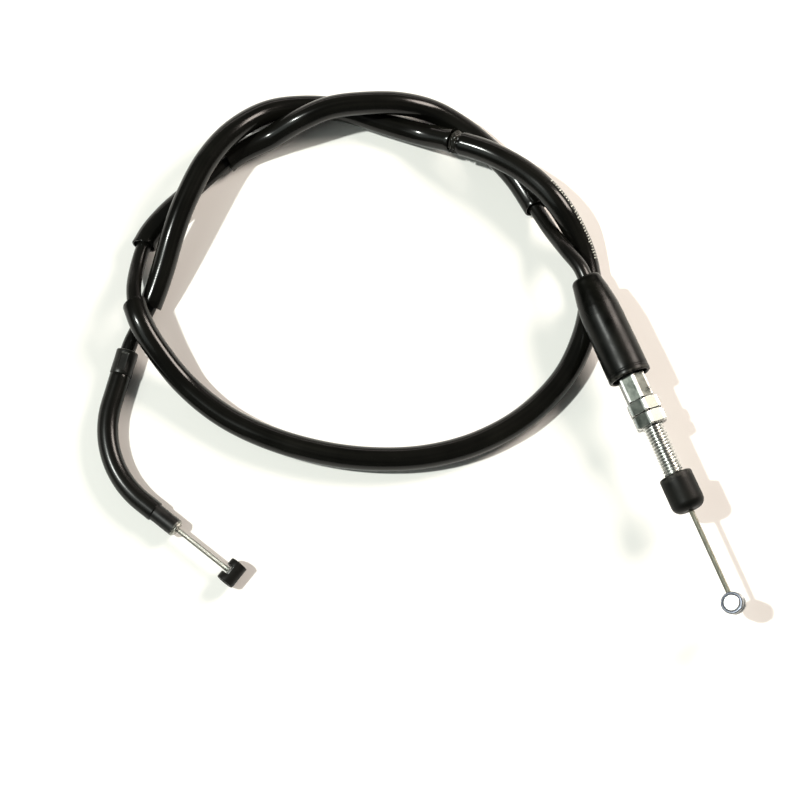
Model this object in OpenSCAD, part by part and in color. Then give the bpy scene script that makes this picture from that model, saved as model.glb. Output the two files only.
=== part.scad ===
// Motorcycle clutch cable: a stranded inner wire in a lined, jacketed casing with loose
// protective sleeves, a threaded adjuster with two nuts and a rubber boot at the lever end,
// and a bent guide pipe with a slotted barrel at the clutch-arm end.
// Millimetres, +Z up, lying on the plane z = 0.

/* [Casing and sleeves] */
// Diameter of the stranded inner wire
wire_d = 2; // [1.8:0.1:2]
// Outer diameter of the casing's plastic jacket
jacket_d = 5.9; // [5.6:0.1:5.9]
// Outer diameter of the loose protective sleeves
sleeve_d = 9.6; // [9:0.1:9.6]
// Wall of the protective sleeves
sleeve_wall = 0.8; // [0.6:0.1:1.2]

/* [Adjuster] */
// Across-flats size of the adjuster's long hexagon
bolt_flats = 10; // [9:0.5:10]
// Length of the long hexagon
bolt_hex_len = 10.7; // [10:0.1:10.7]
// Nominal diameter of the adjuster thread
thread_d = 8; // [7.5:0.1:8]
// End of the threaded tube, measured from the back of the hexagon
thread_end = 50.5; // [48:0.5:51]
// Across-flats size of the two lock nuts
nut_flats = 12; // [11.5:0.1:12]
// Thickness of each lock nut
nut_t = 5.4; // [5:0.1:5.4]

/* [Boot and cap] */
// Length of the rubber boot
boot_len = 43.5; // [41:0.5:44]
// Outer diameter of the boot at its mouth
boot_mouth_d = 17.1; // [16.8:0.1:17.1]
// Outer diameter of the boot at its neck
boot_neck_d = 12.4; // [11:0.2:12.6]
// Outer diameter of the rubber end cap
cap_d = 13.2; // [11:0.1:14]
// Length of the rubber end cap
cap_len = 14.8; // [13:0.1:15]

/* [Lever nipple] */
// Diameter of the barrel nipple
nipple_d = 8.4; // [8:0.1:8.6]
// Length of the barrel nipple without its end bosses
nipple_len = 9; // [8:0.5:10]
// Distance from the back of the hexagon to the nipple's axis
nipple_s = 96; // [94:1:100]

/* [Clutch arm end] */
// Outer diameter of the bent guide pipe
pipe_d = 7.1; // [6.8:0.1:7.2]
// Outer diameter of the cover on the guide pipe
cover_d = 8.3; // [8:0.1:8.5]
// Outer diameter of the crimped collar
collar_d = 8.7; // [8.6:0.1:9]
// Bend radius of the guide pipe
elbow_r = 38; // [36:1:40]
// Diameter of the slotted barrel
barrel_d = 7.2; // [7:0.1:7.6]
// Length of the slotted barrel
barrel_len = 9.2; // [8.8:0.1:9.6]
// Distance from the pipe's mouth to the barrel's axis
barrel_s = 28; // [27:0.5:30]

/* [Hidden] */
$fn = 48;
fit = 0.05;          // radial running clearance of a guided piece
far = 20;            // longer than any piece that it cuts

// Adjuster: distances along its axis are measured from the back of the long hexagon
adjuster_pos = [82.3, 27.2, 18.2];
adjuster_angle = -67.5;
tail_len = 8.5;
tail_d = 8.4;
jacket_socket = 5.5;
bolt_bore_d = 3.2;
bolt_chamfer = 0.6;
nut_turn = [-6, -8];
nut_gap = 0.05;
inner_nut_s = bolt_hex_len + nut_gap;
outer_nut_s = inner_nut_s + nut_t + nut_gap;
cap_s = 42.5;
cap_round = 3.5;
boot_back = boot_len - 0.5;
boot_bore_d = 14.4;
boot_floor = 12;
boot_floor_d = 11;
boot_floor_taper = 7;
boot_swell = 0.4;
nipple_tilt = 19;
lever_wire_start = 20;
core_start = 8;

// Guide pipe: distances along its straight end are measured back from the mouth
arm_pos = [-92.9, -29.9, 4.35];
arm_angle = -38.5;
elbow_turn = 66.5;
pipe_straight = 17;
pipe_wall = 0.8;
bend_lap = 0.05;
bend_thinning = 0.02;
cover_stop = 10.5;
upper_straight = 11.5;
collar_len = 10;
collar_grip = 4;
crimp_l = 7;
crimp_w = 3.1;
crimp_depth = 0.35;
bush_len = 6;
bush_rim = 0.6;
arm_wire_start = -12;
core_stop_angle = 17;
button_d = 4;
button_len = 7.6;
slot_w = 3.5;
slot_depth = 3.4;
barrel_end_wall = 0.7;
barrel_chamfer = 0.3;

// Points on the two straight ends and on the elbow's bend
function heading(a) = [cos(a), sin(a), 0];
function adjuster_at(s) = adjuster_pos + s * heading(adjuster_angle);
function arm_at(s) = arm_pos + s * heading(arm_angle);
bend_centre = arm_at(-pipe_straight) + elbow_r * heading(arm_angle + 90);
function bend_at(a) = bend_centre + elbow_r * heading(arm_angle - 90 - a);
collar_angle = arm_angle - elbow_turn;
function collar_at(s) = bend_at(elbow_turn) + s * heading(collar_angle);
collar_bottom = -upper_straight;
collar_top = collar_bottom - collar_len;
jacket_stop = collar_bottom - collar_grip;

// Two loose turns of cable: points on the centre line from the boot to the collar
turns = [
    [58.8, 79.6, 15.2], [53, 90.2, 9.1], [47.4, 101, 5.6], [40.3, 113, 5], [31.8, 123, 5],
    [21, 133, 5], [8, 140.5, 7.5], [-5.5, 142.3, 12.6], [-20, 141.5, 15.4], [-34.5, 139.5, 15.5],
    [-47, 135, 12.7], [-59, 129.8, 7], [-71.6, 124, 5], [-81.8, 115, 5], [-90.5, 106.5, 5],
    [-99.5, 98, 5], [-107, 88, 5], [-110.5, 76, 6.8], [-111.2, 63.2, 11.5], [-108.3, 51.5, 13.8],
    [-101.5, 40, 11.5], [-90.5, 27, 6.8], [-75.5, 15, 5], [-57.5, 6, 5], [-37, 0, 5],
    [-16.5, -2.5, 5], [4, -1.5, 5], [24, 4, 5], [42.5, 14.5, 5], [57.5, 30, 5], [66, 47.5, 5],
    [69, 64.5, 5], [66.4, 81, 7.4], [57.3, 97, 14.9], [45.5, 110, 15.9], [31, 119.5, 15.2],
    [17, 126, 11.8], [2, 132, 6], [-14, 137.5, 5], [-29, 142.5, 5], [-44.5, 144, 5.2],
    [-60, 140.2, 9], [-73.3, 130, 14], [-83.5, 117, 15.5], [-91, 101.5, 15],
    [-96, 88, 12.8], [-100.4, 73.5, 8.5], [-105, 61, 5], [-110, 51, 3.6]
];
jacket_route = concat(
    [for (s = [-3, -16, -28, -40, -48]) adjuster_at(s)],
    turns,
    [for (s = [-3, 3, collar_len - collar_grip - 0.2]) collar_at(collar_top + s)]
);
core_route = concat(
    [adjuster_at(core_start)],
    jacket_route,
    [for (s = [jacket_stop + 2, collar_bottom, collar_bottom / 2]) collar_at(s)],
    [for (a = [elbow_turn : -(elbow_turn - core_stop_angle) / 5 : core_stop_angle - 1]) bend_at(a)]
);

// A sleeve runs between two places on the jacket's route, counted in its points
sleeve_a_span = [6.95, 17.4];
sleeve_b_span = [19.3, 21.3];
sleeve_c_span = [23.4, 40.9];
sleeve_d_span = [41.2, 52.1];

// Sections swept along a route
cord_sides = 10;
core_sides = 8;
ring_step = 0.72;
layer_gap = 0.1;
jacket_wall = 0.5;
casing_wall = 0.6;
liner_wall = 0.4;
casing_d = jacket_d - 2 * jacket_wall - layer_gap;
liner_d = casing_d - 2 * casing_wall - layer_gap;

function unit(v) = v / norm(v);

// Point on a smooth curve through all the points of p; u counts its points
function route_at(p, u) =
    let (i = min(floor(u), len(p) - 2), t = u - i, b = p[i], c = p[i + 1],
         a = i > 0 ? p[i - 1] : 2 * b - c,
         d = i + 2 < len(p) ? p[i + 2] : 2 * c - b)
    0.5 * (2 * b + (c - a) * t + (2 * a - 5 * b + 4 * c - d) * t * t
           + (3 * b - a - 3 * c + d) * t * t * t);

function route_heading(p, u) =
    unit(route_at(p, min(u + 0.01, len(p) - 1)) - route_at(p, max(u - 0.01, 0)));

// One ring of the section, with a corner straight below the centre line
function ring(p, u, r, sides) =
    let (t = route_heading(p, u), side = unit(cross([0, 0, 1], t)), up = cross(t, side))
    [for (k = [0 : sides - 1]) let (a = 90 + 360 * k / sides)
        route_at(p, u) + r * (cos(a) * side + sin(a) * up)];

function rings(p, span, count, r, sides) =
    [for (i = [0 : count], q = ring(p, span[0] + (span[1] - span[0]) * i / count, r, sides)) q];

function ring_count(span) = ceil((span[1] - span[0]) / ring_step);

// Faces between matching edges a-b and c-d
function band(a, b, c, d) = [[a, c, b], [b, c, d]];

function wall_faces(first, count, sides, outward) =
    [for (i = [0 : count - 1], k = [0 : sides - 1])
        let (a = first + i * sides + k, b = first + i * sides + (k + 1) % sides)
        each outward ? band(a, b, a + sides, b + sides) : band(b, a, b + sides, a + sides)];

function rim_faces(outer, inner, sides, at_start) =
    [for (k = [0 : sides - 1]) let (n = (k + 1) % sides)
        each at_start ? band(outer + n, outer + k, inner + n, inner + k)
                      : band(outer + k, outer + n, inner + k, inner + n)];

module hollow_cord(p, span, outer_d, inner_d) {
    count = ring_count(span);
    last = count * cord_sides;
    inner = last + cord_sides;
    polyhedron(
        points = concat(rings(p, span, count, outer_d / 2, cord_sides),
                        rings(p, span, count, inner_d / 2, cord_sides)),
        faces = concat(wall_faces(0, count, cord_sides, true),
                       wall_faces(inner, count, cord_sides, false),
                       rim_faces(0, inner, cord_sides, true),
                       rim_faces(last, inner + last, cord_sides, false)));
}

module solid_cord(p, span, d) {
    count = ring_count(span);
    last = count * core_sides;
    polyhedron(
        points = rings(p, span, count, d / 2, core_sides),
        faces = concat(wall_faces(0, count, core_sides, true),
                       [[for (k = [0 : core_sides - 1]) k]],
                       [[for (k = [core_sides - 1 : -1 : 0]) last + k]]));
}

// Local Z runs along the named straight end, from its own zero point
module along_adjuster() {
    translate(adjuster_pos) rotate([0, 0, adjuster_angle]) rotate([0, 90, 0]) children();
}

module along_arm() {
    translate(arm_pos) rotate([0, 0, arm_angle]) rotate([0, 90, 0]) children();
}

module along_collar() {
    translate(bend_at(elbow_turn)) rotate([0, 0, collar_angle]) rotate([0, 90, 0]) children();
}

module rod(d, from, to) {
    translate([0, 0, from]) cylinder(d = d, h = to - from);
}

// A round bar with both ends chamfered
module chamfered_rod(r, from, to, c) {
    rotate_extrude()
        polygon([[0, from], [r - c, from], [r, from + c], [r, to - c], [r - c, to], [0, to]]);
}

// A hexagonal bar with its corners turned off at both ends
module hex_bar(flats, from, to) {
    corner_r = flats / sqrt(3);
    intersection() {
        rod_hex(corner_r, from, to);
        chamfered_rod(corner_r, from, to, bolt_chamfer);
    }
}

module rod_hex(corner_r, from, to) {
    translate([0, 0, from]) cylinder(r = corner_r, h = to - from, $fn = 6);
}

module lock_nut(turn, from) {
    difference() {
        rotate([0, 0, turn]) hex_bar(nut_flats, from, from + nut_t);
        rod(thread_d + 2 * fit, from - 1, from + nut_t + 1);
    }
}

// The guide pipe's whole bend as a bar: upper straight, bend, lower straight.
// The bend is a hair thinner than the straights, which reach a little way into it.
module elbow_bar(d, upper_from, lower_to) {
    along_collar() rod(d, upper_from, bend_lap);
    translate(bend_centre) rotate([0, 0, collar_angle - 90])
        rotate_extrude(angle = elbow_turn) translate([elbow_r, 0]) circle(d = d - bend_thinning);
    along_arm() rod(d, -pipe_straight - bend_lap, lower_to);
}

module lever_nipple() {
    h = nipple_len / 2;
    r = nipple_d / 2;
    color("gainsboro") along_adjuster() difference() {
        translate([0, 0, nipple_s]) rotate([0, 0, nipple_tilt]) rotate([0, -90, 0])
            rotate_extrude() polygon([
                [0, -h - 0.3], [r - 1.1, -h - 0.3], [r - 1.1, -h], [r - 0.4, -h],
                [r, -h + 0.4], [r, -1.3], [r - 0.5, -1.1], [r - 0.5, 1.1], [r, 1.3],
                [r, h - 0.4], [r - 0.4, h], [r - 1.1, h], [r - 1.1, h + 0.3], [0, h + 0.3]
            ]);
        rod(wire_d, nipple_s - nipple_d, nipple_s);
    }
}

module lever_wire_end() {
    color("silver") along_adjuster() rod(wire_d, lever_wire_start, nipple_s);
}

module end_cap() {
    r = cap_d / 2;
    color("#151515") along_adjuster() difference() {
        rotate_extrude() polygon(concat(
            [[0, cap_s], [r - 0.4, cap_s], [r, cap_s + 0.4]],
            [for (a = [0 : 15 : 90])
                [r - cap_round * (1 - cos(a)), cap_s + cap_len - cap_round * (1 - sin(a))]],
            [[0, cap_s + cap_len]]));
        rod(thread_d + 2 * fit, cap_s - 1, thread_end + 0.5);
        rod(wire_d + 4 * fit, cap_s, cap_s + cap_len + 1);
    }
}

module adjuster_bolt() {
    color("lightsteelblue") along_adjuster() difference() {
        union() {
            rod(tail_d, -tail_len, 0.2);
            hex_bar(bolt_flats, 0, bolt_hex_len);
            chamfered_rod(thread_d / 2, bolt_hex_len - 1, thread_end, bolt_chamfer);
        }
        rod(jacket_d + 2 * fit, -tail_len - 1, jacket_socket - tail_len);
        rod(bolt_bore_d, -tail_len, thread_end + 1);
    }
}

module outer_lock_nut() {
    color("lightgray") along_adjuster() lock_nut(nut_turn[1], outer_nut_s);
}

module inner_lock_nut() {
    color("darkgray") along_adjuster() lock_nut(nut_turn[0], inner_nut_s);
}

module boot() {
    mouth = boot_len - boot_back;
    neck_r = boot_neck_d / 2;
    mouth_r = boot_mouth_d / 2;
    mid = -boot_back * 0.65;
    floor_s = boot_floor - boot_back;
    color("#101010") along_adjuster() difference() {
        rotate_extrude() polygon(concat(
            [[0, -boot_back]],
            [for (a = [0 : 22.5 : 90])
                [neck_r - 1.2 * (1 - sin(a)), -boot_back + 1.2 * (1 - cos(a))]],
            [[mouth_r - boot_swell, mid], [mouth_r, mouth - 1.5], [mouth_r, mouth - 0.5],
             [mouth_r - 0.5, mouth], [0, mouth]]));
        rotate_extrude() polygon([
            [0, floor_s], [boot_floor_d / 2, floor_s],
            [boot_bore_d / 2, floor_s + boot_floor_taper],
            [boot_bore_d / 2, mouth + 1], [0, mouth + 1]
        ]);
        rod(jacket_d + 0.5, -boot_back - 1, mouth);
    }
}

module outer_jacket() {
    color("#1c1c1a")
        hollow_cord(jacket_route, [0, len(jacket_route) - 1], jacket_d, casing_d + layer_gap);
}

module spiral_casing() {
    color("slategray")
        hollow_cord(jacket_route, [0, len(jacket_route) - 1], casing_d, liner_d + layer_gap);
}

module inner_liner() {
    color("ivory")
        hollow_cord(jacket_route, [0, len(jacket_route) - 1], liner_d, liner_d - 2 * liner_wall);
}

module inner_wire() {
    color("silver") solid_cord(core_route, [0, len(core_route) - 1], wire_d);
}

module sleeve(span) {
    color("#121210") hollow_cord(jacket_route, span, sleeve_d, sleeve_d - 2 * sleeve_wall);
}

module sleeve_a() { sleeve(sleeve_a_span); }
module sleeve_b() { sleeve(sleeve_b_span); }
module sleeve_c() { sleeve(sleeve_c_span); }
module sleeve_d() { sleeve(sleeve_d_span); }

module elbow_collar() {
    color("#202020") along_collar() difference() {
        chamfered_rod(collar_d / 2, collar_top, collar_bottom, 0.3);
        rod(jacket_d + 2 * fit, collar_top - 1, jacket_stop);
        rod(pipe_d, jacket_stop, collar_bottom + 1);
        translate([-collar_d / 2 - far + crimp_depth, -crimp_w / 2, collar_top + 1.5])
            cube([far, crimp_w, crimp_l]);
    }
}

module elbow_pipe() {
    color("dimgray") difference() {
        elbow_bar(pipe_d, jacket_stop, 0);
        elbow_bar(pipe_d - 2 * pipe_wall, jacket_stop - 1, 1);
    }
}

module elbow_cover() {
    color("#181818") difference() {
        elbow_bar(cover_d, collar_bottom + fit, -cover_stop);
        elbow_bar(pipe_d + 2 * fit, collar_bottom - 1, 1);
    }
}

module pipe_end_bush() {
    color("lightgray") along_arm() difference() {
        union() {
            rod(pipe_d - 2 * pipe_wall, -bush_len, bush_rim / 2);
            rod(pipe_d - 1, 0, bush_rim);
        }
        rod(wire_d + 4 * fit, -far, far);
    }
}

module arm_wire_end() {
    color("silver") along_arm() rod(wire_d, arm_wire_start, barrel_s);
}

// Local Z runs along the barrel, and local Y points back at the pipe's mouth
module across_arm_wire() {
    along_arm() translate([0, 0, barrel_s]) rotate([-90, 0, 0]) children();
}

module arm_wire_button() {
    color("gainsboro") difference() {
        across_arm_wire() rod(button_d, -button_len / 2, button_len / 2);
        along_arm() rod(wire_d, 0, barrel_s);
    }
}

module arm_barrel() {
    half = barrel_len / 2;
    r = barrel_d / 2;
    color("#0c0c0c") across_arm_wire() difference() {
        chamfered_rod(r, -half, half, barrel_chamfer);
        rod(button_d + 2 * fit, -far, half - barrel_end_wall);
        translate([-far / 2, r - slot_depth, -slot_w / 2]) cube([far, far, slot_w]);
    }
}

lever_nipple();
lever_wire_end();
end_cap();
adjuster_bolt();
outer_lock_nut();
inner_lock_nut();
boot();
outer_jacket();
spiral_casing();
inner_liner();
inner_wire();
sleeve_a();
sleeve_b();
sleeve_c();
sleeve_d();
elbow_collar();
elbow_pipe();
elbow_cover();
pipe_end_bush();
arm_wire_end();
arm_wire_button();
arm_barrel();
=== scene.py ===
"""Looks for a motorcycle clutch cable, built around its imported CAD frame. Metres, +Z up."""

import math

import bmesh
import bpy
import numpy as np
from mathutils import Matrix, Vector


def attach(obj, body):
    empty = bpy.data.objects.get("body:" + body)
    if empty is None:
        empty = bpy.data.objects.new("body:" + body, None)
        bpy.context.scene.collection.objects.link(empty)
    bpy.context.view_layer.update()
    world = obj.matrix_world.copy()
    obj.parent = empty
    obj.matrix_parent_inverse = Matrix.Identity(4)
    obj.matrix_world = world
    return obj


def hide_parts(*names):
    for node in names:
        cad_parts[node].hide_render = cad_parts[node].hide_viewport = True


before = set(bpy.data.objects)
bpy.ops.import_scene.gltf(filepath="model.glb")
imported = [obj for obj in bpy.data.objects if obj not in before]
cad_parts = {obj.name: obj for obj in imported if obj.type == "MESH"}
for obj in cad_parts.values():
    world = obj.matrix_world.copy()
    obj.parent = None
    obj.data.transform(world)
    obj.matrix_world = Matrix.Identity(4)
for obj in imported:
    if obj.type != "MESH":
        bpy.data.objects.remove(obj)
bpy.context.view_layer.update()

MM = 0.001
UP = np.array([0.0, 0.0, 1.0])
CAMERA_PLACE = (-0.0065, -0.2117, 0.8742)
CAMERA_TILT = 15                              # degrees from straight down
CAMERA_LENS = 103.5
KEY_TOWARDS = (-0.66, 0.0, 1.0)
LAMP_AIM = (0, 0.04, 0)
FLOOR_HALF = 2.5
scene = bpy.context.scene


# ---------------------------------------------------------------- camera, light and floor

def make_camera():
    data = bpy.data.cameras.new("camera")
    data.sensor_width = 36
    data.lens = CAMERA_LENS
    data.clip_start = 0.01
    data.clip_end = 20
    camera = bpy.data.objects.new("camera", data)
    camera.location = CAMERA_PLACE
    camera.rotation_euler = (math.radians(CAMERA_TILT), 0, 0)
    scene.collection.objects.link(camera)
    scene.camera = camera


def area_light(name, place, size, power, colour):
    data = bpy.data.lights.new(name, "AREA")
    data.shape = "RECTANGLE"
    data.size = size[0]
    data.size_y = size[1]
    data.energy = power
    data.color = colour
    light = bpy.data.objects.new(name, data)
    light.location = place
    light.rotation_euler = (Vector(LAMP_AIM) - Vector(place)).to_track_quat("-Z", "Y").to_euler()
    light.visible_camera = False
    scene.collection.objects.link(light)


def make_lights():
    scene.view_settings.view_transform = "Standard"
    scene.view_settings.look = "None"
    sun = bpy.data.lights.new("key", "SUN")
    sun.energy = 3.0
    sun.angle = math.radians(2.8)
    sun.color = (0.97, 1.0, 0.95)
    key = bpy.data.objects.new("key", sun)
    key.rotation_euler = Vector(KEY_TOWARDS).to_track_quat("Z", "Y").to_euler()
    scene.collection.objects.link(key)
    area_light("soft_back", (0.5, 0.37, 0.43), (0.28, 0.28), 6.9, (1.0, 0.885, 0.8))
    area_light("soft_left", (-0.58, -0.1, 0.6), (0.5, 0.5), 1.1, (0.9, 1.0, 0.94))
    area_light("low_back", (-0.1, 1.7, 0.42), (2.6, 0.16), 4.5, (1.0, 0.88, 0.84))
    world = bpy.data.worlds.new("studio")
    world.use_nodes = True
    scene.world = world
    back = world.node_tree.nodes["Background"]
    back.inputs["Color"].default_value = (0.96, 0.97, 0.94, 1)
    back.inputs["Strength"].default_value = 0.1


# ---------------------------------------------------------------- materials

class Paint:
    """One procedural material, built up a node at a time."""

    def __init__(self, name):
        self.material = bpy.data.materials.new(name)
        self.material.use_nodes = True
        self.tree = self.material.node_tree
        self.shader = self.tree.nodes["Principled BSDF"]
        self.bumps = []

    def node(self, kind, **inputs):
        node = self.tree.nodes.new("ShaderNode" + kind)
        for key, value in inputs.items():
            if hasattr(node, key):
                setattr(node, key, value)
                continue
            self.feed(node.inputs[key.replace("_", " ")], value)
        return node

    def feed(self, socket, value):
        """Links a socket to another node's output, or sets it to a plain value."""
        if isinstance(value, bpy.types.NodeSocket):
            self.tree.links.new(value, socket)
        else:
            socket.default_value = value

    def object_place(self):
        return self.node("TexCoord").outputs["Object"]

    def run_place(self):
        return self.node("UVMap", uv_map="run").outputs["UV"]

    def stretched(self, place, scale):
        mapping = self.node("Mapping", Vector=place)
        mapping.inputs["Scale"].default_value = scale
        return mapping.outputs["Vector"]

    def noise(self, place, scale, detail=4.0, rough=0.55):
        return self.node("TexNoise", Vector=place, Scale=scale, Detail=detail,
                         Roughness=rough).outputs["Fac"]

    def voronoi(self, place, scale):
        return self.node("TexVoronoi", Vector=place, Scale=scale).outputs["Distance"]

    def ramp(self, value, low, high, to_low=0.0, to_high=1.0):
        """value mapped from low..high to to_low..to_high, and held there outside."""
        return self.node("MapRange", Value=value, From_Min=low, From_Max=high,
                         To_Min=to_low, To_Max=to_high).outputs["Result"]

    def math(self, operation, a, b=0.0):
        node = self.tree.nodes.new("ShaderNodeMath")
        node.operation = operation
        for socket, value in zip(node.inputs, (a, b)):
            self.feed(socket, value)
        return node.outputs[0]

    def times(self, a, b):
        return self.math("MULTIPLY", a, b)

    def plus(self, a, b):
        return self.math("ADD", a, b)

    def mix(self, value, a, b):
        """Colour a where value is 0, and colour b where it is 1."""
        node = self.tree.nodes.new("ShaderNodeMix")
        node.data_type = "RGBA"
        self.feed(node.inputs[0], value)
        for socket, colour in ((node.inputs[6], a), (node.inputs[7], b)):
            self.feed(socket, (*colour, 1) if isinstance(colour, tuple) else colour)
        return node.outputs[2]

    def mask(self, name):
        """A value from 0 to 1 that the mesh carries under this name, and 0 where it has none."""
        return self.node("Attribute", attribute_name=name).outputs["Fac"]

    def xyz(self, place):
        return self.node("SeparateXYZ", Vector=place).outputs

    def bump(self, height, depth, strength=1.0):
        self.bumps.append((height, depth, strength))

    def done(self, colour, roughness, **uniform):
        self.tree.links.new(colour, self.shader.inputs["Base Color"])
        self.tree.links.new(roughness, self.shader.inputs["Roughness"])
        normal = None
        for height, depth, strength in self.bumps:
            node = self.tree.nodes.new("ShaderNodeBump")
            node.inputs["Strength"].default_value = strength
            node.inputs["Distance"].default_value = depth
            self.tree.links.new(height, node.inputs["Height"])
            if normal is not None:
                self.tree.links.new(normal, node.inputs["Normal"])
            normal = node.outputs["Normal"]
        if normal is not None:
            self.tree.links.new(normal, self.shader.inputs["Normal"])
        for key, value in uniform.items():
            self.shader.inputs[key.replace("_", " ")].default_value = value
        return self.material


def vinyl(name, dark, light, gloss, marks=None):
    """Black soft PVC, drawn along its length: faint lines, dust and handling marks."""
    p = Paint(name)
    run = p.run_place()
    drawn = p.noise(p.stretched(run, (18, 900, 1)), 1.0, 3)
    blotch = p.noise(p.object_place(), 55, 4)
    speck = p.noise(p.object_place(), 2600, 2)
    tone = p.plus(p.times(drawn, 0.5), p.times(blotch, 0.5))
    colour = p.mix(p.ramp(tone, 0.35, 0.68), dark, light)
    dust = p.ramp(p.noise(p.object_place(), 900, 5, 0.7), 0.66, 0.78, 0.0, 0.3)
    colour = p.mix(dust, colour, (0.035, 0.034, 0.028))
    rough = p.ramp(tone, 0.3, 0.7, gloss - 0.06, gloss + 0.08)
    rough = p.plus(rough, p.times(dust, 0.3))
    if marks:
        colour = p.mix(tick_marks(p, run, *marks), colour, (0.5, 0.52, 0.46))
    p.bump(drawn, 0.00004, 0.25)
    p.bump(speck, 0.00003, 0.3)
    return p.done(colour, rough, Specular_IOR_Level=0.24)


def tick_marks(p, run, start, end, middle):
    """Mask of plain short bars of uneven height, printed in a row along the run map."""
    pitch = 1.15 * MM
    along, around = p.xyz(run)[0], p.xyz(run)[1]
    count = p.math("DIVIDE", p.math("SUBTRACT", along, start), pitch)
    chance = p.node("TexWhiteNoise", noise_dimensions="1D", W=p.math("FLOOR", count))
    height = p.plus(0.35 * MM, p.times(chance.outputs["Value"], 0.95 * MM))
    inside = p.math("LESS_THAN", p.math("FRACT", count), 0.4)
    off = p.math("ABSOLUTE", p.math("SUBTRACT", around, middle))
    inside = p.times(inside, p.math("LESS_THAN", off, height))
    inside = p.times(inside, p.math("GREATER_THAN", along, start))
    inside = p.times(inside, p.math("LESS_THAN", along, end))
    worn = p.ramp(p.noise(p.object_place(), 1300, 4), 0.4, 0.52, 0.1, 1.0)
    return p.times(inside, worn)


def moulded(name, dark, light, gloss, grain):
    """Black moulded rubber: fine pebble, soft bloom and a little wear on its edges."""
    p = Paint(name)
    place = p.object_place()
    bloom = p.noise(place, 120, 5, 0.6)
    fine = p.noise(place, 3200, 3)
    colour = p.mix(p.ramp(bloom, 0.35, 0.7), dark, light)
    edge = p.times(p.mask("edge"), p.ramp(p.noise(place, 700, 3), 0.4, 0.62, 0.0, 0.5))
    colour = p.mix(edge, colour, (0.06, 0.058, 0.05))
    rough = p.ramp(bloom, 0.3, 0.7, gloss - 0.06, gloss + 0.1)
    rough = p.plus(rough, p.times(p.mask("dull"), 0.13))
    p.bump(fine, grain, 0.5)
    p.bump(bloom, 0.00008, 0.3)
    return p.done(colour, rough, Specular_IOR_Level=0.13)


def zinc(name, tint, bright, gloss, scratch=1.0):
    """Zinc plate over machined steel: passivate tint, tool lines, scratches, and a painted highlight
    wherever the mesh marks an edge.
    """
    p = Paint(name)
    place = p.object_place()
    cloud = p.noise(place, 260, 5, 0.62)
    lines = p.noise(p.stretched(place, (2600, 2600, 260)), 1.0, 3)
    nick = p.voronoi(p.stretched(place, (900, 2300, 900)), 1.0)
    colour = p.mix(p.ramp(cloud, 0.32, 0.7), tint, bright)
    colour = p.mix(p.ramp(nick, 0.0, 0.12, 0.45 * scratch, 0.0), colour, (0.2, 0.2, 0.18))
    # painted highlight: the colour goes towards near white on the edges the mesh marks, standing in for
    # glints
    edge = p.mask("edge")
    colour = p.mix(p.times(edge, 0.75), colour, (0.9, 0.91, 0.88))
    rough = p.ramp(cloud, 0.3, 0.7, gloss - 0.06, gloss + 0.12)
    rough = p.math("SUBTRACT", rough, p.times(edge, 0.06))
    p.bump(lines, 0.00003, 0.25 * scratch)
    p.bump(nick, 0.00005, 0.3 * scratch)
    return p.done(colour, rough, Metallic=1.0)


def strands(name, dark, light):
    """Galvanised wire: each strand lighter on its crown and darker between strands, a painted highlight
    and painted shade, with patches of grease and dirt.
    """
    p = Paint(name)
    place = p.object_place()
    # painted light: the crown mask gives a painted highlight on each strand's crown and painted shade in
    # the grooves between strands
    crown = p.mask("crown")
    dirt = p.noise(place, 900, 5, 0.65)
    colour = p.mix(crown, dark, light)
    colour = p.mix(p.ramp(dirt, 0.5, 0.75, 0.0, 0.5), colour, (0.16, 0.14, 0.09))
    rough = p.ramp(dirt, 0.3, 0.7, 0.26, 0.5)
    p.bump(dirt, 0.00003, 0.4)
    return p.done(colour, rough, Metallic=1.0)


def painted(name, dark, light, gloss):
    """Black paint on steel tube, rubbed through where the mask called bare says."""
    p = Paint(name)
    place = p.object_place()
    cloud = p.noise(place, 180, 5, 0.6)
    orange = p.noise(place, 1400, 2)
    colour = p.mix(p.ramp(cloud, 0.35, 0.7), dark, light)
    chipped = p.ramp(p.noise(place, 1100, 4, 0.7), 0.42, 0.56)
    bare = p.mask("bare")
    wear = p.math("MAXIMUM", p.ramp(bare, 0.85, 1.0), p.times(bare, chipped))
    colour = p.mix(wear, colour, (0.34, 0.34, 0.31))
    rough = p.plus(p.ramp(cloud, 0.3, 0.7, gloss - 0.05, gloss + 0.1),
                   p.times(wear, 0.05))
    p.tree.links.new(wear, p.shader.inputs["Metallic"])
    p.bump(orange, 0.00005, 0.3)
    return p.done(colour, rough, Specular_IOR_Level=0.3)


def plain_plastic(name, dark, light, gloss):
    p = Paint(name)
    place = p.object_place()
    cloud = p.noise(place, 300, 4)
    colour = p.mix(cloud, dark, light)
    rough = p.ramp(cloud, 0.3, 0.7, gloss - 0.05, gloss + 0.08)
    p.bump(p.noise(place, 2200, 2), 0.00003, 0.3)
    return p.done(colour, rough, Specular_IOR_Level=0.5)


def floor_paint():
    p = Paint("floor_pale")
    place = p.object_place()
    cloud = p.noise(place, 3.2, 3)
    grain = p.noise(place, 420, 3)
    colour = p.mix(p.ramp(cloud, 0.35, 0.7), (0.86, 0.86, 0.83), (0.88, 0.865, 0.84))
    rough = p.ramp(grain, 0.3, 0.7, 0.5, 0.62)
    p.bump(grain, 0.0001, 0.1)
    return p.done(colour, rough, Specular_IOR_Level=0.3)


# ---------------------------------------------------------------- shapes

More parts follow.
